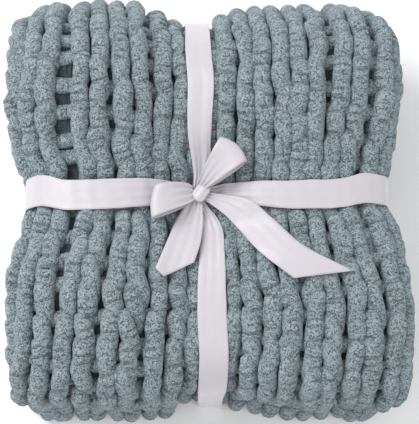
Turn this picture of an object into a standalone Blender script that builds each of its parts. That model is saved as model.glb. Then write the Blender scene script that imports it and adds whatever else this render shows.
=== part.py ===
"""Chunky knit throw, folded up small and tied with a satin ribbon.

One knitted piece is folded in thirds across its width, one side over the other, and then in half
twice along its length, so that four strips of three plies lie on each other. One length of ribbon
goes round it both ways and ends in a bow on top.

Metres, +Z up, +Y to the back, where the big fold is. The origin is on the surface that the bundle
rests on, under the middle of its bounding box.
"""

import math

import bmesh
import bpy
import numpy as np

MM = 0.001

# The knitted piece
PLY = 12 * MM
PLY_GAP = 3 * MM
STRIP_GAP = 3 * MM
WALES = 31
LEGS = 2 * WALES
RIB_DEPTH = 5 * MM
LEG_PROFILE = ((0.0, 1.0), (0.28, 0.0), (0.72, 0.0))  # share of a leg's width, share of the depth
EDGE_ROUND = 3 * MM

# The folded stack, before the ribbon draws it in
HALF_WIDTH = 200 * MM
HALF_LENGTH = 198 * MM
FRONT_FOLD_Y = -190 * MM
BOTTOM_END_Y = -195 * MM
INNER_END_Y = -188 * MM
SELVEDGE_X = 196 * MM
TUCKED_EDGE_X = -172 * MM

PITCH = PLY + PLY_GAP
STRIP = 3 * PLY + 2 * PLY_GAP
STRIP_PITCH = STRIP + STRIP_GAP
HEIGHT = 4 * STRIP + 3 * STRIP_GAP
TIGHT_FOLD = PITCH / 2
WIDE_FOLD = PITCH
BIGHT = STRIP_PITCH / 2
WRAP = 1.5 * STRIP_PITCH
LEFT_FOLD_X = -(HALF_WIDTH - WIDE_FOLD - PLY / 2)
RIGHT_FOLD_X = HALF_WIDTH - TIGHT_FOLD - PLY / 2
BACK_FOLD_Y = HALF_LENGTH - WRAP - STRIP / 2
FRONT_BIGHT_Y = FRONT_FOLD_Y + BIGHT + STRIP / 2

# Across the width, from the tucked edge: (length, turn in half circles, left turns positive)
ACROSS_START = (TUCKED_EDGE_X, 0.0)
ACROSS = [
    (RIGHT_FOLD_X - TUCKED_EDGE_X, 0),
    (math.pi * TIGHT_FOLD, -1),
    (RIGHT_FOLD_X - LEFT_FOLD_X, 0),
    (math.pi * WIDE_FOLD, -1),
    (SELVEDGE_X - LEFT_FOLD_X, 0),
]
# Along the length, from the end of the bottom strip
ALONG_START = (BOTTOM_END_Y, STRIP / 2)
ALONG = [
    (BACK_FOLD_Y - BOTTOM_END_Y, 0),
    (math.pi * WRAP, 1),
    (BACK_FOLD_Y - FRONT_BIGHT_Y, 0),
    (math.pi * BIGHT, 1),
    (BACK_FOLD_Y - FRONT_BIGHT_Y, 0),
    (math.pi * BIGHT, -1),
    (BACK_FOLD_Y - INNER_END_Y, 0),
]

# The bundle's outline once it is tied, in mm
SIDES = [  # distance behind the cross band's edges, left edge, right edge
    (-182, -193, 193),
    (-148, -197, 197),
    (-98, -200, 200),
    (-48, -196, 197),
    (-13, -187, 189),
    (0, -181, 179),
    (18, -186, 178),
    (53, -195, 185),
    (103, -200, 193),
    (148, -199, 191),
    (182, -194, 186),
]
ENDS = [  # distance to the right of the long band's edges, back edge, front edge
    (-173, 197, -202),
    (-148, 203, -204),
    (-113, 204, -205),
    (-63, 204, -204),
    (-20, 194, -197),
    (0, 183, -189),
    (14, 189, -193),
    (52, 199, -199),
    (94, 203, -204),
    (144, 203, -205),
    (170, 202, -204),
    (195, 196, -200),
]
CORNER = 32 * MM
SIDE_DROP = 0.13
END_DROP = 0.05
SIDE_TUCK = 9 * MM
CROWN = 1.05
WAIST_DEPTH = 0.10
WAIST_REACH = 44 * MM
UNDER_BAND = 16.5 * MM
GROOVE_DEPTH = 4 * MM
GROOVE_REACH = 25 * MM
OFF_CENTRE = (-0.4 * MM, -1.2 * MM)

# The ribbon
RIBBON_WIDTH = 29 * MM
RIBBON = 1 * MM
TIE_X = -11 * MM
TIE_Y = 3 * MM
LONG_BAND_DRIFT = 13 * MM
CROSS_BAND_DRIFT = 6 * MM
BAND_LIFT = 2.4 * MM
LONG_BAND_UNDER = 0.9 * MM
CROSS_BAND_UNDER = 2.4 * MM
LOW = 12 * MM
GATHERED_SHARE = 0.28
GATHER_REACH = 46 * MM
KNOT_SIZE = (17 * MM, 15 * MM, 11 * MM)
KNOT_LIFT = 6.5 * MM
BAND_BELOW_KNOT = 2.5 * MM
LOOP_ABOVE_KNOT = 2.5 * MM
IN_KNOT = 3 * MM
OVER_BANDS = 4.6 * MM
LOOPS = [  # direction in degrees, length, opening, width share at the far end
    (192, 43 * MM, 15 * MM, 1.0),
    (49, 53 * MM, 17 * MM, 1.05),
]
LEFT_TAIL = [  # right and back of the knot, lift over the blanket, all in mm
    (0, -3, 5.6),
    (-6, -22, 5.4),
    (-12, -45, 4.8),
    (-19, -71, 4.6),
]
RIGHT_TAIL = [
    (3, -2, 5.6),
    (22, -10, 5.4),
    (45, -28, 4.4),
    (72, -52, 3.2),
    (106, -71, 2.8),
]
TAIL_CUTS = (0.25, -0.95)
ACROSS_RIBBON = (-1, -0.5, 0, 0.5, 1)

YARN_COLOUR = (0.205, 0.258, 0.285, 1)
SATIN_COLOUR = (0.80, 0.77, 0.80, 1)


def smooth_table(at, stations, values):
    """A smooth curve through a table's values, read at the places given."""
    slopes = np.gradient(values, stations)
    at = np.clip(at, stations[0], stations[-1])
    row = np.clip(np.searchsorted(stations, at) - 1, 0, len(stations) - 2)
    span = stations[row + 1] - stations[row]
    u = (at - stations[row]) / span
    rise = 3 * u**2 - 2 * u**3
    ends = (1 - rise) * values[row] + rise * values[row + 1]
    return ends + span * u * (1 - u) * ((1 - u) * slopes[row] - u * slopes[row + 1])


def columns_in_metres(table):
    return (np.array(table, float) * MM).T


def walk(route, start, distance):
    """Places and headings at distances along a chain of straight runs and round turns."""
    distance = np.asarray(distance, float)
    first, second = (np.full(distance.shape, value) for value in start)
    heading = np.zeros(distance.shape)
    for number, (length, half_turns) in enumerate(route):
        left = distance if number == 0 else np.maximum(distance, 0)
        gone = left if number == len(route) - 1 else np.minimum(left, length)
        curve = half_turns * math.pi / length
        turn = curve * gone
        if half_turns:
            first = first + (np.sin(heading + turn) - np.sin(heading)) / curve
            second = second - (np.cos(heading + turn) - np.cos(heading)) / curve
        else:
            first = first + gone * np.cos(heading)
            second = second + gone * np.sin(heading)
        heading = heading + turn
        distance = distance - length
    return first, second, heading


def length_of(route, stretches=None):
    return sum(length for length, _ in route[:stretches])


def bump(x, reach):
    return np.exp(-((x / reach) ** 2))


def settle(x, y, z):
    """Takes a place in the straight folded stack to its place in the tied bundle."""
    a, b, w = x / HALF_WIDTH, y / HALF_LENGTH, z / HEIGHT
    across_tie, along_tie = x - TIE_X, y - TIE_Y
    beyond_long_band = across_tie - np.clip(across_tie, -UNDER_BAND, UNDER_BAND)
    beyond_cross_band = along_tie - np.clip(along_tie, -UNDER_BAND, UNDER_BAND)
    past_cross, left, right = columns_in_metres(SIDES)
    past_long, back, front = columns_in_metres(ENDS)
    left = smooth_table(beyond_cross_band, past_cross, left)
    right = smooth_table(beyond_cross_band, past_cross, right)
    back = smooth_table(beyond_long_band, past_long, back)
    front = smooth_table(beyond_long_band, past_long, front)

    from_end = np.clip(CORNER - (1 - np.abs(b)) * HALF_LENGTH, 0, CORNER)
    inset = from_end**2 / (2 * CORNER) + SIDE_TUCK * np.clip(2 * w - 1, -1, 1) ** 4
    new_x = (left + right) / 2 + a * (right - left) / 2 - inset * a * np.abs(a) ** 4
    new_y = (back + front) / 2 + b * (back - front) / 2
    new_x = new_x + LONG_BAND_DRIFT * np.clip(-b, 0, 1) * w * np.maximum(1 - a**2, 0)
    new_y = new_y + CROSS_BAND_DRIFT * a**2 * w * np.maximum(1 - b**2, 0)

    waist = (1 - WAIST_DEPTH * bump(beyond_long_band, WAIST_REACH)) * (
        1 - WAIST_DEPTH * bump(beyond_cross_band, WAIST_REACH)
    )
    height = CROWN * (1 - SIDE_DROP * np.abs(a) ** 5) * (1 - END_DROP * np.abs(b) ** 6)
    groove = np.maximum(
        np.exp(-((across_tie / GROOVE_REACH) ** 6)), np.exp(-((along_tie / GROOVE_REACH) ** 6))
    )
    groove = np.where(groove < 1e-4, 0, groove)
    new_z = z * height * waist + GROOVE_DEPTH * groove * (1 - np.clip(w, 0, 1)) ** 2
    return new_x - OFF_CENTRE[0], new_y - OFF_CENTRE[1], new_z


def sheet_points(across, along, depth):
    """Points of the folded sheet, depth out from its middle towards the side that shows."""
    x, offset, turn_across = walk(ACROSS, ACROSS_START, across)
    y, z, turn_along = walk(ALONG, ALONG_START, along)
    x = x - depth * np.sin(turn_across)
    offset = offset + depth * np.cos(turn_across)
    y = y + offset * np.sin(turn_along)
    z = z - offset * np.cos(turn_along)
    return np.stack(settle(x, y, z), axis=-1)


def stretch(route, number, count, ends=True):
    """Evenly spaced distances along one stretch of a route."""
    start = length_of(route, number)
    spaced = np.linspace(start, start + route[number][0], count)
    return list(spaced if ends else spaced[1:-1])


def run_stations(route, number, places, forward):
    """Distances along a straight run at which it passes the places given."""
    start = length_of(route, number)
    first = places[0] if forward else places[-1]
    return [start + abs(place - first) for place in (places if forward else places[::-1])]


def cloth_section():
    """The sheet's edge line across its width: (distance across, depth, rib share) point by point,
    and how many of the points are on the side that shows."""
    shared = [-155 * MM, -90 * MM, TIE_X - UNDER_BAND, TIE_X + UNDER_BAND]
    shared += [60 * MM, 115 * MM, 160 * MM]
    panel_a = run_stations(ACROSS, 0, [TUCKED_EDGE_X, *shared, RIGHT_FOLD_X], True)
    panel_b = run_stations(ACROSS, 2, [LEFT_FOLD_X, *shared, RIGHT_FOLD_X], False)
    panel_c = run_stations(ACROSS, 4, [LEFT_FOLD_X, *shared, RIGHT_FOLD_X, SELVEDGE_X], True)

    leg = length_of(ACROSS) / LEGS
    ribs = []
    for number in range(LEGS, 0, -1):
        for place, share in LEG_PROFILE:
            across = length_of(ACROSS) - (number - place) * leg
            if across > panel_c[0] + leg / 4:
                ribs.append((across, PLY / 2, share))

    upper = [(-EDGE_ROUND, PLY / 4, 0.0)]
    upper += [(across, PLY / 2, 0.0) for across in panel_a]
    upper += [(across, PLY / 2, 0.0) for across in stretch(ACROSS, 1, 5, ends=False)]
    upper += [(across, PLY / 2, 0.0) for across in panel_b]
    fold = stretch(ACROSS, 3, 8, ends=False)
    upper += [(across, PLY / 2, number % 2) for number, across in enumerate(fold)]
    upper += [(panel_c[0], PLY / 2, 0.0), *ribs]
    upper.append((length_of(ACROSS) + EDGE_ROUND, PLY / 4, 0.0))
    lower = [(length_of(ACROSS) + EDGE_ROUND, -PLY / 4, 0.0)]
    lower += [(across, -PLY / 2, 0.0) for across in panel_c[::-1]]
    lower += [(across, -PLY / 2, 0.0) for across in stretch(ACROSS, 3, 5, ends=False)[::-1]]
    lower += [(across, -PLY / 2, 0.0) for across in panel_b[::-1]]
    lower += [(across, -PLY / 2, 0.0) for across in stretch(ACROSS, 1, 3, ends=False)[::-1]]
    lower += [(across, -PLY / 2, 0.0) for across in panel_a[::-1]]
    lower.append((-EDGE_ROUND, -PLY / 4, 0.0))
    return np.array(upper + lower).T, len(upper)


def cloth_stations():
    """Distances along the length, each with the thickness share and the rib share there."""
    band = [TIE_Y - UNDER_BAND, TIE_Y + UNDER_BAND]
    on_top = [-100 * MM, -64 * MM, -38 * MM, *band, 38 * MM, 72 * MM]
    below = [-80 * MM, -38 * MM, *band, 38 * MM, 70 * MM]
    inside = [-80 * MM, *band, 60 * MM]
    near_end = [-182 * MM, -155 * MM]
    rows = [(-EDGE_ROUND, 0.6, 0)]
    bottom = run_stations(ALONG, 0, [BOTTOM_END_Y, *near_end, *below, BACK_FOLD_Y], True)
    rows += [(along, 1, 0) for along in bottom]
    rows += [(along, 1, 1) for along in stretch(ALONG, 1, 8, ends=False)]
    top = run_stations(ALONG, 2, [FRONT_BIGHT_Y, *on_top, BACK_FOLD_Y], False)
    rows += [(along, 1, 1) for along in top]
    rows += [(along, 1, 1) for along in stretch(ALONG, 3, 6, ends=False)]
    second = run_stations(ALONG, 4, [FRONT_BIGHT_Y, *inside, BACK_FOLD_Y], True)
    rows += [(along, 1, 0) for along in second]
    rows += [(along, 1, 0) for along in stretch(ALONG, 5, 5, ends=False)]
    third = run_stations(ALONG, 6, [INNER_END_Y, *near_end, *inside, BACK_FOLD_Y], False)
    rows += [(along, 1, 0) for along in third]
    rows.append((length_of(ALONG) + EDGE_ROUND, 0.6, 0))
    return rows


def add_object(name, points, faces, material, collection):
    mesh = bpy.data.meshes.new(name)
    mesh.from_pydata([tuple(point) for point in points], [], faces)
    mesh.validate()
    if material:
        mesh.materials.append(material)
    obj = bpy.data.objects.new(name, mesh)
    collection.objects.link(obj)
    return obj


def end_faces(across, shown):
    """Triangles over the sheet's end, zipped between the side that shows and the other side."""
    faces = []
    upper, lower = 0, len(across) - 1
    while upper < shown - 1 or lower > shown:
        up_next = across[upper + 1] if upper < shown - 1 else math.inf
        low_next = across[lower - 1] if lower > shown else math.inf
        if up_next <= low_next:
            faces.append((upper, upper + 1, lower))
            upper += 1
        else:
            faces.append((upper, lower - 1, lower))
            lower -= 1
    return faces


def make_blanket(material, collection):
    """The folded sheet: its section across the width, carried along its length."""
    (across, depth, rib), shown = cloth_section()
    points = []
    for along, thickness, rib_share in cloth_stations():
        deep = depth * thickness - RIB_DEPTH * rib * rib_share
        points.extend(sheet_points(across, np.full(across.shape, along), deep))
    sides, rows = len(across), len(cloth_stations())
    faces = []
    for row in range(rows - 1):
        for side in range(sides):
            corner, beside = row * sides + side, row * sides + (side + 1) % sides
            faces.append((corner, corner + sides, beside + sides, beside))
    last = (rows - 1) * sides
    ends = end_faces(across, shown)
    faces += ends
    faces += [(last + c, last + b, last + a) for a, b, c in ends]
    return add_object("blanket", points, faces, material, collection)


def belt(wheels, lift, step):
    """Points of a belt pulled round wheels (place, height, radius), anticlockwise, lift off them."""
    points = []
    count = len(wheels)
    angles = []
    for number, (place, height, radius) in enumerate(wheels):
        next_place, next_height, next_radius = wheels[(number + 1) % count]
        apart = math.hypot(next_place - place, next_height - height)
        towards = math.atan2(next_height - height, next_place - place)
        angles.append(towards - math.acos((radius - next_radius) / apart))
    for number, (place, height, radius) in enumerate(wheels):
        first, last = angles[number - 1], angles[number]
        swing = (last - first) % (2 * math.pi)
        parts = max(2, math.ceil(swing / math.radians(16)))
        for angle in np.linspace(first, first + swing, parts + 1):
            reach = radius + lift
            points.append((place + reach * math.cos(angle), height + reach * math.sin(angle)))
        next_place, next_height, next_radius = wheels[(number + 1) % count]
        reach = next_radius + lift
        ahead = (next_place + reach * math.cos(last), next_height + reach * math.sin(last))
        runs = max(1, math.ceil(math.dist(points[-1], ahead) / step))
        start = points[-1]
        for share in np.linspace(0, 1, runs + 1)[1:-1]:
            points.append(tuple(a + share * (b - a) for a, b in zip(start, ahead)))
    return points


def open_at_knot(points, tie):
    """The closed belt as one open run that starts and ends at the knot on top."""
    on_top = [p for p in points if p[1] > HEIGHT and abs(p[0] - tie) < GATHER_REACH * 1.2]
    rest = [p for p in points if p not in on_top]
    first = next(n for n in range(len(rest)) if rest[n - 1][0] > tie > rest[n][0] and rest[n][1] > HEIGHT)
    rest = rest[first:] + rest[:first]
    level = HEIGHT + BAND_LIFT
    near = [-GATHER_REACH, -0.75 * GATHER_REACH, -0.5 * GATHER_REACH, -0.25 * GATHER_REACH, -IN_KNOT]
    return [(tie + n, level) for n in near[::-1]] + rest + [(tie - n, level) for n in near]


def gather(distance):
    """The share of the ribbon's width that shows at a distance from the knot."""
    u = np.clip(distance / GATHER_REACH, 0, 1)
    return GATHERED_SHARE + (1 - GATHERED_SHARE) * np.sin(u * math.pi / 2) ** 1.3


def make_strap(name, rows, collection):
    """A thin closed strap on an open surface given row by row."""
    width = len(rows[0])
    points = [tuple(point) for row in rows for point in row]
    faces = [
        (n * width + k, n * width + k + 1, (n + 1) * width + k + 1, (n + 1) * width + k)
        for n in range(len(rows) - 1)
        for k in range(width - 1)
    ]
    strap = add_object(name, points, faces, None, collection)
    shell = strap.modifiers.new("thickness", "SOLIDIFY")
    shell.thickness = RIBBON
    shell.offset = 0
    strap.display_type = "WIRE"
    strap.hide_render = True
    return strap


def rise_to_knot(distance):
    """How far the band is lifted off its way over the blanket near the knot."""
    near = np.clip(1 - distance / (0.5 * GATHER_REACH), 0, 1)
    return (KNOT_LIFT - BAND_BELOW_KNOT - BAND_LIFT) * near**1.5


def band_row(places, z, away, under):
    """One row of a band at places in the straight stack, held at a set height under the bundle."""
    low = np.clip(1 - z / LOW, 0, 1)
    row = []
    for x, y in places:
        new_x, new_y, new_z = settle(x, y, z)
        new_z = (new_z + rise_to_knot(away)) * (1 - low) + under * low
        row.append(np.array([new_x, new_y, new_z]))
    return row


def long_band_rows():
    bottom_end = BOTTOM_END_Y + EDGE_ROUND
    wheels = [
        (BACK_FOLD_Y, HEIGHT / 2, HEIGHT / 2),
        (FRONT_BIGHT_Y, HEIGHT - BIGHT - STRIP / 2, BIGHT + STRIP / 2),
        (bottom_end, STRIP - 2 * EDGE_ROUND, 2 * EDGE_ROUND),
        (bottom_end, 2 * EDGE_ROUND, 2 * EDGE_ROUND),
    ]
    rows = []
    for y, z in open_at_knot(belt(wheels, BAND_LIFT, 24 * MM), TIE_Y):
        away = abs(y - TIE_Y) if z > HEIGHT else GATHER_REACH
        half = RIBBON_WIDTH / 2 * gather(away)
        places = [(TIE_X + half * side, y) for side in ACROSS_RIBBON]
        rows.append(band_row(places, z, away, LONG_BAND_UNDER))
    return rows


def cross_band_rows():
    selvedge = SELVEDGE_X - EDGE_ROUND
    wheels = [
        (selvedge, HEIGHT - PLY / 2, PLY / 2),
        (LEFT_FOLD_X, HEIGHT - STRIP / 2, STRIP / 2),
        (LEFT_FOLD_X, STRIP / 2, STRIP / 2),
        (selvedge, PLY / 2, PLY / 2),
    ]
    rows = []
    for x, z in open_at_knot(belt(wheels, BAND_LIFT, 24 * MM), TIE_X):
        away = abs(x - TIE_X) if z > HEIGHT else GATHER_REACH
        half = RIBBON_WIDTH / 2 * gather(away)
        places = [(x, TIE_Y + half * side) for side in ACROSS_RIBBON]
        rows.append(band_row(places, z, away, CROSS_BAND_UNDER))
    return rows


def top_height(x, y):
    """The height of the tied bundle's top at a place in plan."""
    flat_x, flat_y = x, y
    for _ in range(12):
        new_x, new_y, new_z = settle(flat_x, flat_y, HEIGHT)
        flat_x, flat_y = flat_x + x - new_x, flat_y + y - new_y
    return float(new_z)


def knot_place():
    x, y, z = settle(TIE_X, TIE_Y, HEIGHT)
    return np.array([float(x), float(y), float(z) + KNOT_LIFT])


def loop_rows(direction, length, opening, far_share):
    """A bow loop: out from the knot low down, round its far end and back on top."""
    knot = knot_place()
    knot[2] += LOOP_ABOVE_KNOT
    angle = math.radians(direction)
    out = np.array([math.cos(angle), math.sin(angle), 0])
    aside = np.array([-math.sin(angle), math.cos(angle), 0])
    far_x, far_y, _ = knot + out * length
    climb = max(top_height(far_x, far_y) + OVER_BANDS + opening / 2 - knot[2], 0)
    rows = []
    for turn in np.linspace(0, 2 * math.pi, 21):
        share = (1 - math.cos(turn)) / 2
        reach = IN_KNOT + (length - IN_KNOT) * share
        half = RIBBON_WIDTH / 2 * (GATHERED_SHARE + (far_share - GATHERED_SHARE) * share**0.8)
        height = climb * share - opening * 0.7 * math.sin(turn) * math.sin(turn / 2)
        row = []
        for side in ACROSS_RIBBON:
            point = knot + out * reach + aside * half * side
            point[2] = max(point[2] + height, top_height(point[0], point[1]) + OVER_BANDS)
            row.append(point)
        rows.append(row)
    return rows


def tail_rows(table, cut):
    """A free tail that lies on the blanket from the knot to its slanting cut."""
    knot = knot_place()
    places = np.array(table, float) * MM
    run = np.concatenate([[0], np.cumsum(np.hypot(*np.diff(places[:, :2], axis=0).T))])
    at = np.linspace(0, run[-1], 14)
    x, y, lift = (smooth_table(at, run, places[:, column]) for column in range(3))
    ahead = np.stack([np.gradient(x), np.gradient(y)], axis=1)
    ahead /= np.linalg.norm(ahead, axis=1)[:, None]
    rows = []
    for number, distance in enumerate(at):
        half = RIBBON_WIDTH / 2 * gather(distance)
        row = []
        for side in ACROSS_RIBBON:
            slant = cut * half * side * (number / (len(at) - 1)) ** 3
            point_x = knot[0] + x[number] - ahead[number, 1] * half * side + ahead[number, 0] * slant
            point_y = knot[1] + y[number] + ahead[number, 0] * half * side + ahead[number, 1] * slant
            row.append(np.array([point_x, point_y, top_height(point_x, point_y) + lift[number]]))
        rows.append(row)
    return rows


def make_ribbon(material, collection, lengths):
    """The knot, with every length of the ribbon that leaves it joined to it as one piece."""
    straps = {
        "long_band": long_band_rows(),
        "cross_band": cross_band_rows(),
        "left_loop": loop_rows(*LOOPS[0]),
        "right_loop": loop_rows(*LOOPS[1]),
        "left_tail": tail_rows(LEFT_TAIL, TAIL_CUTS[0]),
        "right_tail": tail_rows(RIGHT_TAIL, TAIL_CUTS[1]),
    }
    mesh = bpy.data.meshes.new("ribbon")
    form = bmesh.new()
    bmesh.ops.create_uvsphere(form, u_segments=16, v_segments=10, radius=0.5)
    bmesh.ops.scale(form, vec=KNOT_SIZE, verts=form.verts)
    bmesh.ops.translate(form, vec=knot_place(), verts=form.verts)
    form.to_mesh(mesh)
    form.free()
    mesh.materials.append(material)
    ribbon = bpy.data.objects.new("ribbon", mesh)
    collection.objects.link(ribbon)
    for name, rows in straps.items():
        join = ribbon.modifiers.new(name, "BOOLEAN")
        join.operation = "UNION"
        join.solver = "EXACT"
        join.object = make_strap(name, rows, lengths)
    return ribbon


def finish_material(name, colour, roughness):
    material = bpy.data.materials.new(name)
    material.use_nodes = True
    shader = material.node_tree.nodes["Principled BSDF"]
    shader.inputs["Base Color"].default_value = colour
    shader.inputs["Roughness"].default_value = roughness
    shader.inputs["Metallic"].default_value = 0
    return material


def clear_scene():
    for obj in list(bpy.data.objects):
        bpy.data.objects.remove(obj, do_unlink=True)


def new_collection(name):
    collection = bpy.data.collections.new(name)
    bpy.context.scene.collection.children.link(collection)
    return collection


def main():
    clear_scene()
    bundle = new_collection("knit_blanket_bundle")
    chenille = finish_material("chenille_yarn", YARN_COLOUR, 0.95)
    satin = finish_material("satin_ribbon", SATIN_COLOUR, 0.4)
    make_blanket(chenille, bundle)
    make_ribbon(satin, bundle, new_collection("ribbon_lengths"))


main()
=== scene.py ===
import math

import bpy
import numpy as np
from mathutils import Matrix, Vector


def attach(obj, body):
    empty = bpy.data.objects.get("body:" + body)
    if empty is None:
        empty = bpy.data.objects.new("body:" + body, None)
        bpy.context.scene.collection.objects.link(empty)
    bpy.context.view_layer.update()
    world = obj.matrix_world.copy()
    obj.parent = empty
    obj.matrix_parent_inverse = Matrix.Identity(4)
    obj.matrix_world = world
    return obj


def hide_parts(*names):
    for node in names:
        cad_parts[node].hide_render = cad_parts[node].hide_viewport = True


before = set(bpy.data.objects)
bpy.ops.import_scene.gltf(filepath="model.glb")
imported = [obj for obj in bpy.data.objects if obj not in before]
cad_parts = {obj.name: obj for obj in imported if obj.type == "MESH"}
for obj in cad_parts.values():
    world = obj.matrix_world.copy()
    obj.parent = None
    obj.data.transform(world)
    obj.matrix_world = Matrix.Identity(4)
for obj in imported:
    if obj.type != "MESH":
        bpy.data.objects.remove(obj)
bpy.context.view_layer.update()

MM = 0.001

# The knitted piece and its folds, as in the solids
PLY = 12 * MM
PLY_GAP = 3 * MM
STRIP_GAP = 3 * MM
WALES = 31
EDGE_ROUND = 3 * MM
HALF_WIDTH = 200 * MM
HALF_LENGTH = 198 * MM
FRONT_FOLD_Y = -190 * MM
BOTTOM_END_Y = -195 * MM
INNER_END_Y = -188 * MM
SELVEDGE_X = 196 * MM
TUCKED_EDGE_X = -172 * MM

PITCH = PLY + PLY_GAP
STRIP = 3 * PLY + 2 * PLY_GAP
STRIP_PITCH = STRIP + STRIP_GAP
HEIGHT = 4 * STRIP + 3 * STRIP_GAP
TIGHT_FOLD = PITCH / 2
WIDE_FOLD = PITCH
BIGHT = STRIP_PITCH / 2
WRAP = 1.5 * STRIP_PITCH
LEFT_FOLD_X = -(HALF_WIDTH - WIDE_FOLD - PLY / 2)
RIGHT_FOLD_X = HALF_WIDTH - TIGHT_FOLD - PLY / 2
BACK_FOLD_Y = HALF_LENGTH - WRAP - STRIP / 2
FRONT_BIGHT_Y = FRONT_FOLD_Y + BIGHT + STRIP / 2
NOSE = STRIP / 2  # the sheet's two ends, in front, droop over in a quarter turn

# Straight runs and round turns: (length, turn in half circles, left turns positive)
ACROSS_START = (TUCKED_EDGE_X, 0.0, 0.0)
ACROSS = [
    (RIGHT_FOLD_X - TUCKED_EDGE_X, 0),
    (math.pi * TIGHT_FOLD, -1),
    (RIGHT_FOLD_X - LEFT_FOLD_X, 0),
    (math.pi * WIDE_FOLD, -1),
    (SELVEDGE_X - LEFT_FOLD_X, 0),
]
ALONG_START = (BOTTOM_END_Y + NOSE, 0.0, math.pi / 2)
ALONG = [
    (math.pi * NOSE / 2, -0.5),
    (BACK_FOLD_Y - BOTTOM_END_Y - 2 * NOSE, 0),
    (math.pi * WRAP, 1),
    (BACK_FOLD_Y - FRONT_BIGHT_Y, 0),
    (math.pi * BIGHT, 1),
    (BACK_FOLD_Y - FRONT_BIGHT_Y, 0),
    (math.pi * BIGHT, -1),
    (BACK_FOLD_Y - INNER_END_Y - 2 * NOSE, 0),
    (math.pi * NOSE / 2, 0.5),
]

# The outline of the tied bundle, in mm
SIDES = [  # distance behind the cross band's edges, left edge, right edge
    (-182, -190, 185),
    (-148, -187, 187),
    (-98, -190, 190),
    (-48, -187, 184),
    (-13, -177, 177),
    (0, -175, 170),
    (18, -185, 173),
    (53, -193, 178),
    (103, -195, 183),
    (148, -194, 179),
    (182, -192, 171),
]
ENDS = [  # distance to the right of the long band's edges, back edge, front edge
    (-173, 192, -207),
    (-148, 198, -208),
    (-113, 199, -206),
    (-63, 199, -206),
    (-20, 194, -203),
    (0, 181, -190),
    (14, 188, -194),
    (52, 194, -200),
    (94, 194, -207),
    (144, 197, -204),
    (170, 195, -206),
    (195, 185, -202),
]
CORNER = 32 * MM
CORNER_POWER = 4
SIDE_DROP = 0.13
SIDE_DROP_POWER = 5
END_DROP = 0.05
END_DROP_POWER = 6
SIDE_TUCK = 9 * MM
SIDE_TUCK_POWER = 4
CROWN = 1.05
WAIST_DEPTH = 0.10
WAIST_REACH = 44 * MM
UNDER_BAND = 16.5 * MM
GROOVE_DEPTH = 4 * MM
GROOVE_REACH = 25 * MM
OFF_CENTRE = (-0.4 * MM, -1.2 * MM)
TIE_X = -11 * MM
TIE_Y = 5 * MM
LONG_BAND_DRIFT = 13 * MM
CROSS_BAND_DRIFT = 6 * MM

# The thin cloth that the loops stand on
GROUND_OUT = -6.5 * MM
GROUND_IN = -8.5 * MM
GROUND_STEPS = (110, 190)  # across, along

# The ribbon
RIBBON_WIDTH = 29 * MM
RIBBON_THICKNESS = 0.4 * MM
BELT_DEPTH = 5 * MM
LONG_SWING = [  # distance back of the knot, how far right the long band swings, in mm
    (-200, 2),
    (-165, 4),
    (-135, 4.3),
    (-105, 6.5),
    (-65, 11),
    (-45, 11),
    (-25, 7),
    (0, 0),
    (13, 2.2),
    (23, 5.4),
    (33, 8),
    (60, 8.5),
    (110, 9),
    (135, 7.2),
    (150, 7),
    (167, 8),
    (190, 8),
]
CROSS_SWING = [  # distance right of the knot, how far back the cross band swings, in mm
    (-185, -2),
    (-167, -3),
    (-147, -8.5),
    (-122, -9),
    (-97, -7.5),
    (-77, -5.5),
    (-57, -3),
    (-25, -0.5),
    (0, 0),
    (25, -1.5),
    (48, -4.5),
    (83, -5.5),
    (123, -5),
    (143, -7.5),
    (163, -6.5),
    (181, -1),
    (195, 0),
]
BAND_STEP = 7 * MM
RIPPLE = 0.6 * MM
RIPPLES_A_WALE = 2
RIPPLE_SLANT = 3 / 4
CREASE = 2.4 * MM
CREASE_REACH = 70 * MM
CREASE_WIDTH = 0.2  # of the ribbon's half width
BAND_OFF = 8.2 * MM
LONG_BAND_UNDER = 0.5 * MM
CROSS_BAND_UNDER = 1.2 * MM
LOW = 14 * MM
GATHERED_SHARE = 0.22
GATHER_REACH = 42 * MM
FRONT_GATHER_REACH = 30 * MM
LEFT_GATHER_REACH = 28 * MM
RIGHT_GATHER_REACH = 48 * MM
PLEAT_DEPTH = 1.6 * MM
PLEATS_A_SIDE = 1.6
NEAR_KNOT = 58 * MM
NEAR_KNOT_STEPS = 14
OPEN_REACH = 60 * MM  # the belts are cut open this near to the knot
RISE_REACH = 24 * MM
RISE_POWER = 1.5
KNOT_LIFT = 10 * MM
KNOT_OVER_BAND = 4.4 * MM
BAND_BELOW_KNOT = 2.5 * MM
LOOP_ABOVE_KNOT = 1.5 * MM
IN_KNOT = 3 * MM
KNOT_SHIFT = (3.6 * MM, -1.6 * MM, 1.8 * MM)
KNOT_SIZE = (9.2, 6.6, 3.4)  # half its length, width and height, in mm
KNOT_POWER = 0.7
KNOT_FLARE = 0.2
RIDGE_HEIGHT = 0.16
RIDGES = 5.5
RIDGE_PHASE = 0.6
KNOT_RINGS = 20
KNOT_STEPS = 32
WRAP_ANGLE = 55
OVER_BANDS = 9 * MM
TRIALS = 12
LOOPS = [  # direction, length, opening, far width share, how soon it widens, far end's slant and bulge
    (197.5, 43.5 * MM, 15 * MM, 1.0, 0.3, 6 * MM, 2.5 * MM),
    (47, 52.5 * MM, 18 * MM, 1.16, 0.8, 0, 5 * MM),
]
LOOP_STEPS = 61
LOOP_FULLNESS = 0.7
PLEATS_FADE = 1.6  # how much sooner a loop's pleats end than the loop does
LEFT_TAIL = [  # left edge right and back, right edge right and back of the knot, lift, in mm
    (-4, -3, 4, -5, 8),
    (-12, -14, 5, -17, 9.5),
    (-19, -26, 5.5, -31, 8.5),
    (-26, -44, 3.5, -49, 9.5),
    (-38, -75, -2.5, -69, 8),
]
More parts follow.
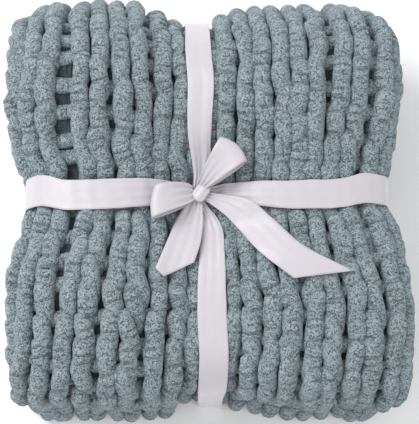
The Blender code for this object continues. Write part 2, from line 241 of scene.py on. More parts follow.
RIGHT_TAIL = [
    (4, 1, 2, -6, 8),
    (24, -3, 11, -11, 9.5),
    (48, -9, 25, -22, 10.5),
    (69, -27, 37, -35, 8),
    (95, -53, 56, -59, 9.5),
    (142, -79, 88, -86, 8),
]
TAIL_CUTS = (9 * MM, 0)
TAIL_STEPS = 36
CUT_POWER = 8
CUT_POINT = 0.22  # of the width, where the left tail's end is cut back most

# The yarn, loop by loop
COURSE = 23.4 * MM
LOOP_REACH = 19 * MM
PRESSED_IN = 2.6 * MM
EDGE_PRESSED_IN = 4.5 * MM
PRESSED_FLAT = 0.24
PRESS_REACH = 20 * MM
UNDER_RIBBON = 2 * MM
SQUASH = 4 * MM
EDGE_CLEAR = 1 * MM
STEPS_A_LOOP = 20
RING = 12
YARN_ROUND = 9  # mm of pile to each radian round the yarn
COURSE_APART = 0.37  # m, so that neighbouring rows don't wrinkle alike
ROUTE_STEPS = 4000
HALF_LOOP = [  # share of the way from the head to the link between columns, then in mm:
    # aside from the column's middle, down the column, out, half width, half depth
    (0.00, 0.0, 17.5, -7.0, 6.4, 5.4),
    (0.12, 6.6, 17.0, -6.0, 6.8, 5.8),
    (0.24, 10.7, 13.5, -4.2, 7.6, 7.0),
    (0.36, 10.7, 7.5, -1.4, 8.1, 7.8),
    (0.50, 9.8, -1.0, 1.7, 8.7, 8.4),
    (0.64, 8.8, -9.5, 3.5, 8.8, 8.5),
    (0.76, 8.1, -16.8, 3.2, 8.2, 8.0),
    (0.85, 9.3, -20.6, -2.8, 7.4, 6.8),
    (0.93, 13.5, -19.8, -5.8, 7.4, 6.2),
    (1.00, 19.4, -19.0, -6.4, 7.8, 6.2),
]
# How unevenly the legs of the loops lie
SEED = 12
UNEVEN_ASIDE = 0.9 * MM
UNEVEN_ALONG = 2.2 * MM
UNEVEN_OUT = 0.8 * MM
UNEVEN_GIRTH = 0.05
UNEVEN_LEAN = 1.6 * MM
LEG_BLEND = 0.3
# How far the columns of loops stray from even spacing, to the right, wale 0 (at the right) to 9
STRAYING = [  # distance back from the middle of the top, then a value a wale, in mm
    (180, 16, 10, 3, 2, 5, 4, 8, 4, 5, -2),
    (136, 20, 12, 3, 4, 6, 11, 16, 11, 11, -1),
    (100, 20, 11, 3, 6, 9, 15, 20, 16, 13, -6),
    (48, 18, 7, 6, 11, 9, 9, 14, 14, 8, -11),
    (31, 15, 6, 6, 10, 9, 13, 12, 11, 5, -14),
    (-32, 11, 0, -2, -3, -3, 5, 4, 3, 1, -8),
    (-71, 17, 5, 0, -1, 1, 3, 4, 3, -1, -8),
    (-90, 16, 9, 4, 0, 0, 3, 5, 2, -3, -11),
    (-127, 17, 9, 2, -1, -2, 0, 0, -7, -11, -15),
    (-150, 13, 6, -1, -5, -6, -5, -6, -11, -15, -19),
    (-177, 11, 3, -3, -8, -10, -9, -11, -12, -17, -20),
]
STRAYING_WALES = 10
STRAYING_ENDS = 11
COLUMN_HALF = 0.44  # of a wale, either side of a column's middle, moves as one
LINK_SHARE = 0.12  # of a wale stretches
# Where the knitted pieces meet, in wales from the selvedge
SELVEDGE = -0.5
IN_FROM_SELVEDGE = 2.5
PAST_MIDDLE = 7.5
PAST_LEFT_FOLD = 12.5
BEFORE_RIGHT_FOLD = 18.5
PAST_RIGHT_FOLD = 22.5
# Rows of loops that show at the sheet's two ends, and how far past the front fold the top's rows go
BOTTOM_END_ROWS = 6
INNER_END_ROWS = 5
PAST_FRONT_FOLD = 30 * MM


def smooth_table(at, stations, values):
    """A smooth curve through a table's values, read at the places given."""
    slopes = np.gradient(values, stations)
    at = np.clip(at, stations[0], stations[-1])
    row = np.clip(np.searchsorted(stations, at) - 1, 0, len(stations) - 2)
    span = stations[row + 1] - stations[row]
    u = (at - stations[row]) / span
    rise = 3 * u**2 - 2 * u**3
    ends = (1 - rise) * values[row] + rise * values[row + 1]
    return ends + span * u * (1 - u) * ((1 - u) * slopes[row] - u * slopes[row + 1])


def columns_in_metres(table):
    return (np.array(table, float) * MM).T


def walk(route, start, distance):
    """Places and headings at distances along a chain of straight runs and round turns."""
    distance = np.asarray(distance, float)
    first, second, heading = (np.full(distance.shape, value) for value in start)
    for number, (length, half_turns) in enumerate(route):
        left = distance if number == 0 else np.maximum(distance, 0)
        gone = left if number == len(route) - 1 else np.minimum(left, length)
        curve = half_turns * math.pi / length
        turn = curve * gone
        if half_turns:
            first = first + (np.sin(heading + turn) - np.sin(heading)) / curve
            second = second - (np.cos(heading + turn) - np.cos(heading)) / curve
        else:
            first = first + gone * np.cos(heading)
            second = second + gone * np.sin(heading)
        heading = heading + turn
        distance = distance - length
    return first, second, heading


def length_of(route, stretches=None):
    return sum(length for length, _ in route[:stretches])


def bump(x, reach):
    return np.exp(-((x / reach) ** 2))


def plateau(x, reach):
    """1 within the reach, with a quick fall to 0 past it."""
    return np.exp(-((x / reach) ** 6))


def settle(x, y, z):
    """Takes a place in the straight folded stack to its place in the tied bundle."""
    a, b, w = x / HALF_WIDTH, y / HALF_LENGTH, z / HEIGHT
    across_tie, along_tie = x - TIE_X, y - TIE_Y
    beyond_long_band = across_tie - np.clip(across_tie, -UNDER_BAND, UNDER_BAND)
    beyond_cross_band = along_tie - np.clip(along_tie, -UNDER_BAND, UNDER_BAND)
    past_cross, left, right = columns_in_metres(SIDES)
    past_long, back, front = columns_in_metres(ENDS)
    left = smooth_table(beyond_cross_band, past_cross, left)
    right = smooth_table(beyond_cross_band, past_cross, right)
    back = smooth_table(beyond_long_band, past_long, back)
    front = smooth_table(beyond_long_band, past_long, front)

    from_end = np.clip(CORNER - (1 - np.abs(b)) * HALF_LENGTH, 0, CORNER)
    inset = from_end**2 / (2 * CORNER) + SIDE_TUCK * np.clip(2 * w - 1, -1, 1) ** SIDE_TUCK_POWER
    new_x = (left + right) / 2 + a * (right - left) / 2 - inset * a * np.abs(a) ** CORNER_POWER
    new_y = (back + front) / 2 + b * (back - front) / 2
    new_x = new_x + LONG_BAND_DRIFT * np.clip(-b, 0, 1) * w * np.maximum(1 - a**2, 0)
    new_y = new_y + CROSS_BAND_DRIFT * a**2 * w * np.maximum(1 - b**2, 0)

    waist = (1 - WAIST_DEPTH * bump(beyond_long_band, WAIST_REACH)) * (
        1 - WAIST_DEPTH * bump(beyond_cross_band, WAIST_REACH)
    )
    side_drop = 1 - SIDE_DROP * np.abs(a) ** SIDE_DROP_POWER
    height = CROWN * side_drop * (1 - END_DROP * np.abs(b) ** END_DROP_POWER)
    groove = np.maximum(plateau(across_tie, GROOVE_REACH), plateau(along_tie, GROOVE_REACH))
    new_z = z * height * waist + GROOVE_DEPTH * groove * (1 - np.clip(w, 0, 1)) ** 2
    return new_x - OFF_CENTRE[0], new_y - OFF_CENTRE[1], new_z


def sheet_points(across, along, depth):
    """Points of the folded sheet, depth out from its middle towards the side that shows."""
    x, offset, turn_across = walk(ACROSS, ACROSS_START, across)
    y, z, turn_along = walk(ALONG, ALONG_START, along)
    x = x - depth * np.sin(turn_across)
    offset = offset + depth * np.cos(turn_across)
    y = y + offset * np.sin(turn_along)
    z = z - offset * np.cos(turn_along)
    return np.stack(settle(x, y, z), axis=-1)


def add_mesh(name, points, faces, material, flat=None):
    """A smooth mesh; flat gives each point's place on the unrolled yarn or cloth, in metres."""
    mesh = bpy.data.meshes.new(name)
    mesh.from_pydata(np.asarray(points, float).reshape(-1, 3), [], faces)
    if flat is not None:
        corners = np.zeros(len(mesh.loops), int)
        mesh.loops.foreach_get("vertex_index", corners)
        mesh.uv_layers.new(name="flat").data.foreach_set("uv", flat.reshape(-1, 2)[corners].ravel())
    mesh.shade_smooth()
    mesh.materials.append(material)
    piece = bpy.data.objects.new(name, mesh)
    bpy.context.scene.collection.objects.link(piece)
    return piece


# ---------------------------------------------------------------- knitting

WALE = length_of(ACROSS) / WALES
TOP_FRONT_END = length_of(ALONG, 5)
COURSES = int(length_of(ALONG) / COURSE) + 8
rng = np.random.default_rng(SEED)
LEGS = (COURSES, 2 * WALES + 2)
leg_aside = rng.normal(0, UNEVEN_ASIDE, LEGS)
leg_along = rng.normal(0, UNEVEN_ALONG, LEGS)
leg_out = rng.normal(0, UNEVEN_OUT, LEGS)
leg_girth = rng.normal(1, UNEVEN_GIRTH, LEGS)
leg_lean = rng.normal(0, UNEVEN_LEAN, LEGS)


def course_places():
    """Where each course is along the length, evenly spaced on the outer side of every turn, and how
    much shorter a loop is there when it is measured at the middle of the strip."""
    along = np.linspace(0, length_of(ALONG), ROUTE_STEPS)
    _, _, heading = walk(ALONG, ALONG_START, along)
    stretch = 1 + np.abs(np.gradient(heading, along)) * PITCH
    worn = np.concatenate([[0], np.cumsum(np.diff(along) * stretch[1:])])
    ends = (LOOP_REACH, worn[-1] - LOOP_REACH)
    at = np.linspace(*ends, int(worn[-1] / COURSE))
    places = np.interp(at, worn, along)
    return places, np.gradient(places) / (at[1] - at[0])


def by_leg(values, course, wale):
    """A value of each leg of each loop, blended quickly at the head and the link."""
    leg = 2 * wale + 1.5  # leg 0 is just outside the selvedge
    low = np.floor(leg).astype(int)
    share = np.clip((leg - low - 0.5) / LEG_BLEND + 0.5, 0, 1)
    return values[course, low] * (1 - share) + values[course, low + 1] * share


def stray(wale, along):
    """How far right a column is of its even place: whole columns move, the links between stretch."""
    table = np.array(STRAYING[::-1], float)
    y, _, _ = walk(ALONG, ALONG_START, along)
    on_top = np.clip(wale, 0, STRAYING_WALES - 1)
    low = np.minimum(np.floor(on_top).astype(int), STRAYING_WALES - 2)
    share = np.clip((on_top - low - COLUMN_HALF) / LINK_SHARE, 0, 1)
    shifts = [smooth_table(y, table[:, 0] * MM, table[:, 1 + k] * MM) for k in range(STRAYING_WALES)]
    shifts = np.stack(shifts, axis=-1)
    first = np.take_along_axis(shifts, low[..., None], axis=-1)[..., 0]
    second = np.take_along_axis(shifts, low[..., None] + 1, axis=-1)[..., 0]
    moved = first + (second - first) * share * share * (3 - 2 * share)
    return moved * np.clip(STRAYING_ENDS - wale, 0, 1)


def swing(table, distance):
    """How far a band swings aside at a distance from the knot."""
    place, aside = columns_in_metres(table)
    return smooth_table(distance, place, aside)


def long_band_middle(y, z):
    """Where the long band's middle is in the straight stack, so that it hangs plumb down the front."""
    lower = np.clip(-y / HALF_LENGTH, 0, 1) * (1 - np.clip(z / HEIGHT, 0, 1))
    return TIE_X + swing(LONG_SWING, y - TIE_Y) + LONG_BAND_DRIFT * lower


def under_ribbon(across, along):
    """1 where a band presses on the knit, 0 away from it."""
    x, offset, _ = walk(ACROSS, ACROSS_START, across)
    y, z, turn_along = walk(ALONG, ALONG_START, along)
    y = y + offset * np.sin(turn_along)
    z = z - offset * np.cos(turn_along)
    return np.maximum(
        plateau(x - long_band_middle(y, z), PRESS_REACH),
        plateau(y - TIE_Y - swing(CROSS_SWING, x - TIE_X), PRESS_REACH),
    )


def knit(name, wales, courses):
    """Rows of yarn loops: one tube a course, from the first wale to the last, wale 0 at the selvedge."""
    first, last = wales
    steps = int((last - first) * STEPS_A_LOOP) + 1
    wale = np.linspace(first, last, steps)[None, :] + np.zeros((len(courses), 1))
    course = np.array(courses)[:, None] + np.zeros(wale.shape, int)
    side = wale - np.round(wale)
    share = np.abs(side) * 2
    table = np.array(HALF_LOOP)
    aside, down, out, half_width, half_depth = (
        smooth_table(share, table[:, 0], table[:, k] * MM) for k in range(1, 6)
    )
    aside = np.sign(side) * (aside + by_leg(leg_aside, course, wale) * np.sin(math.pi * share))
    aside = aside + by_leg(leg_lean, course, wale) * np.sin(2 * math.pi * share)
    along = PLACES[course] + (down + by_leg(leg_along, course, wale)) * CLOSENESS[course]
    across = length_of(ACROSS) - WALE / 2 - np.round(wale) * WALE - aside + stray(wale, PLACES[course])
    pressed = under_ribbon(across, along)
    over_edge = np.maximum(across - length_of(ACROSS) + EDGE_CLEAR + EDGE_PRESSED_IN * pressed, 0)
    across = across - over_edge
    girth = 1 + (by_leg(leg_girth, course, wale) - 1) * (1 - pressed)
    depth = out + by_leg(leg_out, course, wale) * (1 - pressed) - PRESSED_IN * pressed - over_edge / 2
    half_depth = half_depth * (1 - PRESSED_FLAT * pressed)

    middle = sheet_points(across, along, depth)
    outward = sheet_points(across, along, depth + MM) - sheet_points(across, along, depth - MM)
    ahead = np.gradient(middle, axis=1)
    ahead /= np.linalg.norm(ahead, axis=2, keepdims=True)
    beside = np.cross(ahead, outward)
    beside /= np.linalg.norm(beside, axis=2, keepdims=True)
    outward = np.cross(beside, ahead)

    angle = np.linspace(0, 2 * math.pi, RING, endpoint=False)
    points = (
        middle[:, :, None]
        + beside[:, :, None] * (half_width * girth)[:, :, None, None] * np.cos(angle)[:, None]
        + outward[:, :, None] * (half_depth * girth)[:, :, None, None] * np.sin(angle)[:, None]
    )
    lowest = UNDER_RIBBON * pressed[:, :, None]
    over_floor = points[..., 2] - lowest
    squashed = SQUASH * np.exp(np.minimum(over_floor / SQUASH - 1, 0))
    points[..., 2] = lowest + np.where(over_floor < SQUASH, squashed, over_floor)
    index = np.arange(len(courses) * steps * RING).reshape(len(courses), steps, RING)
    here, there = index[:, :-1], index[:, 1:]
    faces = np.stack([here, np.roll(here, -1, 2), np.roll(there, -1, 2), there], axis=-1).reshape(-1, 4)
    caps = [tuple(ring[::-1]) for ring in index[:, 0]] + [tuple(ring) for ring in index[:, -1]]
    run = np.cumsum(np.linalg.norm(np.diff(middle, axis=1, prepend=middle[:, :1]), axis=2), axis=1)
    flat = np.zeros(points.shape[:3] + (2,))
    flat[..., 0] = run[:, :, None] + COURSE_APART * course[:, :, None]
    flat[..., 1] = np.abs(angle - math.pi) * YARN_ROUND * MM
    return add_mesh(name, points, faces.tolist() + caps, yarn_material, flat)


PLACES, CLOSENESS = course_places()


# ---------------------------------------------------------------- materials

# Colours of the yarn: painted shade deep in the pile, the pile's own colour and painted light at its
# tips; the same much darker for the cloth behind the loops, as painted shade; and of the satin, painted
# shade and painted light
YARN_COLOURS = (0.09, 0.122, 0.134), (0.366, 0.447, 0.483), (0.51, 0.606, 0.64)
SHADED_COLOURS = (0.03, 0.042, 0.048), (0.07, 0.092, 0.102), (0.12, 0.15, 0.165)
SATIN_COLOURS = (0.53, 0.505, 0.545), (0.6, 0.57, 0.61)
SHEEN_COLOUR = (0.72, 0.86, 0.95, 1)
FLOOR_COLOURS = (0.965, 0.965, 0.965, 1), (0.985, 0.985, 0.985, 1)
# Sizes of the patterns: scales in a metre, the others shares
TUFTS = 840.0
PUSH_SCALE = 160.0
PUSH_BY = 0.0024
PATCH_SCALE = 60.0
PATCH_SHARE = 0.12
TUFT_SHARE = 0.4
TONE_SHARE = 0.6
TUFT_EDGE = 0.75, 0.1
# Where the painted shade deep in the pile gives way to the pile's colour, and that to the painted light
# at the tips
DARK_TO_PILE = 0.28, 0.54
PILE_TO_TIP = 0.62, 1.0
TONE_HEIGHT = 0.5
WRINKLE_SCALE = 44.0
WRINKLE_STRETCH = (1, 0.1, 1)
WRINKLE_VALLEY = 0.28, 0.0
SOME_SCALE = 55.0
SOME_WRINKLED = 0.42, 0.62
WRINKLE_SHADE = 0.5
THREADS = 1500.0
THREAD_STRETCH = (0.05, 1, 1)
CRUMPLE_SCALE = 70.0
CRUMPLE_HEIGHT = 3.0
SATIN_GLOSS = 0.3, 0.7, 0.44, 0.32
FLOOR_SCALE = 3.0


def add_node(tree, kind, values=None, **settings):
    """A new node: values go to its inputs by name, and a socket as a value is linked."""
    node = tree.nodes.new(kind)
    for name, value in settings.items():
        setattr(node, name, value)
    for name, value in (values or {}).items():
        if isinstance(value, bpy.types.NodeSocket):
            tree.links.new(value, node.inputs[name])
        else:
            node.inputs[name].default_value = value
    return node


def new_group(name, inputs, outputs):
    """An empty node group with named sockets: {name: (type, default)} in and {name: type} out."""
    group = bpy.data.node_groups.new(name, "ShaderNodeTree")
    for socket, (kind, default) in inputs.items():
        made = group.interface.new_socket(socket, in_out="INPUT", socket_type=kind)
        if default is not None:
            made.default_value = default
    for socket, kind in outputs.items():
        group.interface.new_socket(socket, in_out="OUTPUT", socket_type=kind)
    return group, group.nodes.new("NodeGroupInput").outputs, group.nodes.new("NodeGroupOutput").inputs


def maths(tree, operation, first, second=0.0, third=0.0):
    node = add_node(tree, "ShaderNodeMath", operation=operation)
    for socket, value in zip(node.inputs, (first, second, third)):
        if isinstance(value, bpy.types.NodeSocket):
            tree.links.new(value, socket)
        else:
            socket.default_value = value
    return node.outputs[0]


def blend(tree, share, first, second):
    node = add_node(tree, "ShaderNodeMix", data_type="RGBA")
    for socket, value in zip((node.inputs[0], node.inputs[6], node.inputs[7]), (share, first, second)):
        if isinstance(value, bpy.types.NodeSocket):
            tree.links.new(value, socket)
        else:
            socket.default_value = value
    return node.outputs[2]


def spread(tree, value, low, high, new_low=0.0, new_high=1.0):
    node = add_node(tree, "ShaderNodeMapRange", {"Value": value, "From Min": low, "From Max": high})
    node.inputs["To Min"].default_value = new_low
    node.inputs["To Max"].default_value = new_high
    return node.outputs["Result"]


def make_pile_group():
    """Short velvety tufts: their colour, from painted shade deep in the pile to painted light at the
    tips over a tone that varies at random, and their height.
    """
    group, given, result = new_group(
        "tufted_pile",
        {
            "Place": ("NodeSocketVector", None),
            "Tufts in a Metre": ("NodeSocketFloat", TUFTS),
            "Painted Deep Shade": ("NodeSocketColor", (0.1, 0.1, 0.1, 1)),
            "Pile Colour": ("NodeSocketColor", (0.3, 0.3, 0.3, 1)),
            "Painted Tip Light": ("NodeSocketColor", (0.5, 0.5, 0.5, 1)),
        },
        {"Colour": "NodeSocketColor", "Height": "NodeSocketFloat"},
    )
    place, tufts = given["Place"], given["Tufts in a Metre"]
    push = add_node(group, "ShaderNodeTexNoise", {"Vector": place, "Scale": PUSH_SCALE, "Detail": 1.0})
    pushed = add_node(group, "ShaderNodeVectorMath", operation="MULTIPLY_ADD")
    group.links.new(push.outputs["Color"], pushed.inputs[0])
    pushed.inputs[1].default_value = (PUSH_BY, PUSH_BY, PUSH_BY)
    group.links.new(place, pushed.inputs[2])
    cells = add_node(group, "ShaderNodeTexVoronoi", {"Vector": pushed.outputs[0], "Scale": tufts})
    patches = add_node(
        group, "ShaderNodeTexNoise", {"Vector": place, "Scale": PATCH_SCALE, "Detail": 3.0}
    )
    tone = add_node(group, "ShaderNodeSeparateColor", {"Color": cells.outputs["Color"]}).outputs[0]
    # High tuft middles are painted light and the low gaps between them painted shade, mixed with a tone
    # and patches that vary at random; the same tufts give the bump
    tuft = spread(group, cells.outputs["Distance"], *TUFT_EDGE)
    tone_and_painted_light = maths(group, "MULTIPLY_ADD", tuft, TUFT_SHARE, maths(group, "MULTIPLY", tone, TONE_SHARE))
    tone_and_painted_light = maths(group, "MULTIPLY_ADD", patches.outputs["Fac"], PATCH_SHARE, tone_and_painted_light)
    low = blend(group, spread(group, tone_and_painted_light, *DARK_TO_PILE), given["Painted Deep Shade"], given["Pile Colour"])
    colour = blend(group, spread(group, tone_and_painted_light, *PILE_TO_TIP), low, given["Painted Tip Light"])
    height = maths(group, "MULTIPLY_ADD", tone, TONE_HEIGHT, tuft)
    group.links.new(colour, result["Colour"])
    group.links.new(height, result["Height"])
    return group


def make_wrinkle_group():
    """Fine folds that run round the yarn in scattered patches, from its own length and girth."""
    group, given, result = new_group(
        "yarn_wrinkles",
        {"Yarn Place": ("NodeSocketVector", None), "Fold Scale": ("NodeSocketFloat", WRINKLE_SCALE)},
        {"Height": "NodeSocketFloat", "Painted Fold Shade": "NodeSocketFloat"},
    )
    stretched = add_node(group, "ShaderNodeVectorMath", operation="MULTIPLY")
    group.links.new(given["Yarn Place"], stretched.inputs[0])
    stretched.inputs[1].default_value = WRINKLE_STRETCH
    rings = add_node(
        group,
        "ShaderNodeTexWave",
        {
            "Vector": stretched.outputs[0],
            "Scale": given["Fold Scale"],
            "Distortion": 5.0,
            "Detail": 1.0,
            "Detail Scale": 2.0,
        },
    )
    some = add_node(
        group,
        "ShaderNodeTexNoise",
        {"Vector": given["Yarn Place"], "Scale": SOME_SCALE, "Detail": 0.0},
    )
    valley = spread(group, rings.outputs["Fac"], *WRINKLE_VALLEY)
    # The folds' valleys: the low places of the bump, and the mask of painted shade in the creases
    mask = maths(group, "MULTIPLY", valley, spread(group, some.outputs["Fac"], *SOME_WRINKLED))
    group.links.new(maths(group, "SUBTRACT", 1.0, mask), result["Height"])
    group.links.new(mask, result["Painted Fold Shade"])
    return group


def make_weave_group():
    """A fine satin weave: long floats along the ribbon with a little slub; the slub's mask also streaks
    the satin's colour with painted shade and painted light.
    """
    group, given, result = new_group(
        "satin_weave",
        {"Cloth Place": ("NodeSocketVector", None), "Threads in a Metre": ("NodeSocketFloat", THREADS)},
        {"Sheen Mask": "NodeSocketFloat", "Height": "NodeSocketFloat"},
    )
    threads = given["Threads in a Metre"]
    stretched = add_node(group, "ShaderNodeVectorMath", operation="MULTIPLY")
    group.links.new(given["Cloth Place"], stretched.inputs[0])
    stretched.inputs[1].default_value = THREAD_STRETCH
    slub = add_node(group, "ShaderNodeTexNoise", {"Vector": stretched.outputs[0], "Scale": threads})
    crumple = add_node(
        group,
        "ShaderNodeTexNoise",
        {"Vector": given["Cloth Place"], "Scale": CRUMPLE_SCALE, "Detail": 1.0},
    )
    height = maths(group, "MULTIPLY_ADD", crumple.outputs["Fac"], CRUMPLE_HEIGHT, slub.outputs["Fac"])
    group.links.new(slub.outputs["Fac"], result["Sheen Mask"])
    group.links.new(height, result["Height"])
    return group


def new_material(name):
    material = bpy.data.materials.new(name)
    material.use_nodes = True
    return material, material.node_tree, material.node_tree.nodes["Principled BSDF"]


def chenille(name, pile, wrinkles, colours):
    deep, yarn, tip = colours
    material, tree, shader = new_material(name)
    places = add_node(tree, "ShaderNodeTexCoord").outputs
    tufts = add_node(tree, "ShaderNodeGroup", node_tree=pile)
    tree.links.new(places["Object"], tufts.inputs["Place"])
    # Deep is painted shade in the pile and tip is painted light on the tufts
    tufts.inputs["Painted Deep Shade"].default_value = (*deep, 1)
    tufts.inputs["Pile Colour"].default_value = (*yarn, 1)
    tufts.inputs["Painted Tip Light"].default_value = (*tip, 1)
    folds = add_node(tree, "ShaderNodeGroup", node_tree=wrinkles)
    tree.links.new(places["UV"], folds.inputs["Yarn Place"])
    # Painted shade: the colour darkens towards the deep colour in the folds' valleys
    shaded = maths(tree, "MULTIPLY", folds.outputs["Painted Fold Shade"], WRINKLE_SHADE)
    tree.links.new(blend(tree, shaded, tufts.outputs["Colour"], (*deep, 1)), shader.inputs["Base Color"])
    fold_bump = add_node(tree, "ShaderNodeBump", {"Strength": 0.8, "Distance": 0.0024})
    tree.links.new(folds.outputs["Height"], fold_bump.inputs["Height"])
    tuft_bump = add_node(tree, "ShaderNodeBump", {"Strength": 0.9, "Distance": 0.0012})
    tree.links.new(tufts.outputs["Height"], tuft_bump.inputs["Height"])
    tree.links.new(fold_bump.outputs["Normal"], tuft_bump.inputs["Normal"])
    tree.links.new(tuft_bump.outputs["Normal"], shader.inputs["Normal"])
    shader.inputs["Roughness"].default_value = 0.95
    shader.inputs["Specular IOR Level"].default_value = 0.2
    shader.inputs["Sheen Weight"].default_value = 0.35
    shader.inputs["Sheen Roughness"].default_value = 0.45
    shader.inputs["Sheen Tint"].default_value = SHEEN_COLOUR
    return material


def satin(name, weave, colours):
    shade, light = colours
    material, tree, shader = new_material(name)
    places = add_node(tree, "ShaderNodeTexCoord").outputs
    threads = add_node(tree, "ShaderNodeGroup", node_tree=weave)
    tree.links.new(places["UV"], threads.inputs["Cloth Place"])
    sheen = threads.outputs["Sheen Mask"]
    # Base colour streaked along the threads between painted shade and painted light
    tree.links.new(blend(tree, sheen, (*shade, 1), (*light, 1)), shader.inputs["Base Color"])
    tree.links.new(spread(tree, sheen, *SATIN_GLOSS), shader.inputs["Roughness"])
    thread_bump = add_node(tree, "ShaderNodeBump", {"Strength": 0.35, "Distance": 0.0006})
    tree.links.new(threads.outputs["Height"], thread_bump.inputs["Height"])
    tree.links.new(thread_bump.outputs["Normal"], shader.inputs["Normal"])
    shader.inputs["Anisotropic"].default_value = 0.5
    shader.inputs["Sheen Weight"].default_value = 0.25
    return material


def studio_floor(name):
    material, tree, shader = new_material(name)
    places = add_node(tree, "ShaderNodeTexCoord").outputs
    mottle = add_node(
        tree, "ShaderNodeTexNoise", {"Vector": places["Object"], "Scale": FLOOR_SCALE, "Detail": 3.0}
    )
    tree.links.new(blend(tree, mottle.outputs["Fac"], *FLOOR_COLOURS), shader.inputs["Base Color"])
    shader.inputs["Roughness"].default_value = 0.9
    return material


pile_group = make_pile_group()
wrinkle_group = make_wrinkle_group()
yarn_material = chenille("chenille_yarn", pile_group, wrinkle_group, YARN_COLOURS)
# The cloth behind the loops: the same chenille in much darker colours, painted shade of the loops over
# it
cloth_material = chenille("shaded_chenille", pile_group, wrinkle_group, SHADED_COLOURS)
satin_material = satin("satin_ribbon", make_weave_group(), SATIN_COLOURS)

FLOOR_REACH = 4  # m
floor_corners = [(x * FLOOR_REACH, y * FLOOR_REACH, 0) for x, y in ((-1, -1), (1, -1), (1, 1), (-1, 1))]
floor = add_mesh("floor", floor_corners, [(0, 1, 2, 3)], studio_floor("pale_floor"))


# ---------------------------------------------------------------- the blanket


def make_ground(material):
    """The thin cloth behind the loops, on the same folds."""
    across = np.linspace(0, length_of(ACROSS), GROUND_STEPS[0])
    along = np.linspace(0, length_of(ALONG), GROUND_STEPS[1])
    grid_across, grid_along = np.meshgrid(across, along)
    count = len(along), len(across)
    out, under = (sheet_points(grid_across, grid_along, depth) for depth in (GROUND_OUT, GROUND_IN))
    index = np.arange(2 * count[0] * count[1]).reshape(2, *count)
    faces = []
    for side, sheet in enumerate(index):
        corners = [sheet[:-1, :-1], sheet[1:, :-1], sheet[1:, 1:], sheet[:-1, 1:]]
        quads = np.stack(corners, axis=-1).reshape(-1, 4)
        faces += (quads if side == 0 else quads[:, ::-1]).tolist()
    for rim in (index[:, 0, :], index[:, -1, ::-1], index[:, ::-1, 0], index[:, :, -1]):
        top, bottom = rim
        faces += np.stack([top[:-1], top[1:], bottom[1:], bottom[:-1]], axis=-1).tolist()
    flat = np.stack([np.stack([grid_across, grid_along], axis=-1)] * 2)
    return add_mesh("blanket_cloth", np.stack([out, under]), faces, material, flat)


ground = make_ground(cloth_material)
every_row = range(len(PLACES))
over_back = length_of(ALONG, 2) + math.pi * WRAP / 2
inside_start = TOP_FRONT_END + PAST_FRONT_FOLD
under_rows = [row for row in every_row if PLACES[row] < over_back]
top_rows = [row for row in every_row if over_back <= PLACES[row] < inside_start]
inner_rows = [row for row in every_row if PLACES[row] >= inside_start]
yarn_pieces = [
    knit("knit_top", (SELVEDGE, PAST_LEFT_FOLD), top_rows),
    knit("knit_underside", (SELVEDGE, PAST_LEFT_FOLD), under_rows),
    knit("knit_bottom_nose", (PAST_LEFT_FOLD, BEFORE_RIGHT_FOLD), under_rows[:BOTTOM_END_ROWS]),
    knit("knit_inner_nose", (SELVEDGE, PAST_MIDDLE), inner_rows[-INNER_END_ROWS:]),
    knit("knit_inner_left_folds", (PAST_MIDDLE, PAST_LEFT_FOLD), inner_rows),
    knit("knit_inner_selvedges", (SELVEDGE, IN_FROM_SELVEDGE), inner_rows[:-INNER_END_ROWS]),
    knit("knit_right_folds", (BEFORE_RIGHT_FOLD, PAST_RIGHT_FOLD), list(every_row)),
]
for piece in [ground, *yarn_pieces]:
    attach(piece, "root")
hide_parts("blanket")


# ---------------------------------------------------------------- the ribbon


def belt(wheels, lift, step):
    """Points of a belt pulled round wheels (place, height, radius), anticlockwise, lift off them."""
    points = []
    angles = []
    for number, (place, height, radius) in enumerate(wheels):
        next_place, next_height, next_radius = wheels[(number + 1) % len(wheels)]
        apart = math.hypot(next_place - place, next_height - height)
        towards = math.atan2(next_height - height, next_place - place)
        angles.append(towards - math.acos((radius - next_radius) / apart))
    for number, (place, height, radius) in enumerate(wheels):
        first, last = angles[number - 1], angles[number]
        turn = (last - first) % (2 * math.pi)
        reach = radius + lift
        parts = max(2, math.ceil(turn * reach / step))
        for angle in np.linspace(first, first + turn, parts + 1):
            points.append((place + reach * math.cos(angle), height + reach * math.sin(angle)))
        next_place, next_height, next_radius = wheels[(number + 1) % len(wheels)]
        reach = next_radius + lift
        start = points[-1]
        ahead = (next_place + reach * math.cos(last), next_height + reach * math.sin(last))
        parts = max(1, math.ceil(math.dist(start, ahead) / step))
        for share in np.linspace(0, 1, parts + 1)[1:-1]:
            points.append(tuple(a + share * (b - a) for a, b in zip(start, ahead)))
    return points


def open_at_knot(points, tie):
    """The closed belt as one open run that starts and ends at the knot on top."""
    rest = [p for p in points if p[1] <= HEIGHT / 2 or abs(p[0] - tie) >= OPEN_REACH]
    upper = [p[1] > HEIGHT / 2 for p in rest]
    first = next(n for n in range(len(rest)) if rest[n - 1][0] > tie > rest[n][0] and upper[n])
    rest = rest[first:] + rest[:first]
    level = HEIGHT - BELT_DEPTH
    near = np.linspace(IN_KNOT, NEAR_KNOT, NEAR_KNOT_STEPS)
    return [(tie - away, level) for away in near] + rest + [(tie + away, level) for away in near[::-1]]


def gather(distance, reach=GATHER_REACH):
    """The share of the ribbon's width that shows at a distance from the knot."""
    return 1 - (1 - GATHERED_SHARE) * np.exp(-np.maximum(distance, 0) / reach)


SIDE_STEPS = np.linspace(-1, 1, 15)


def pleats(share, phase):
    """Soft ridges along the ribbon where it is drawn together, one value for each step across."""
    return PLEAT_DEPTH * (1 - share) * np.cos(2 * math.pi * PLEATS_A_SIDE * SIDE_STEPS + phase)


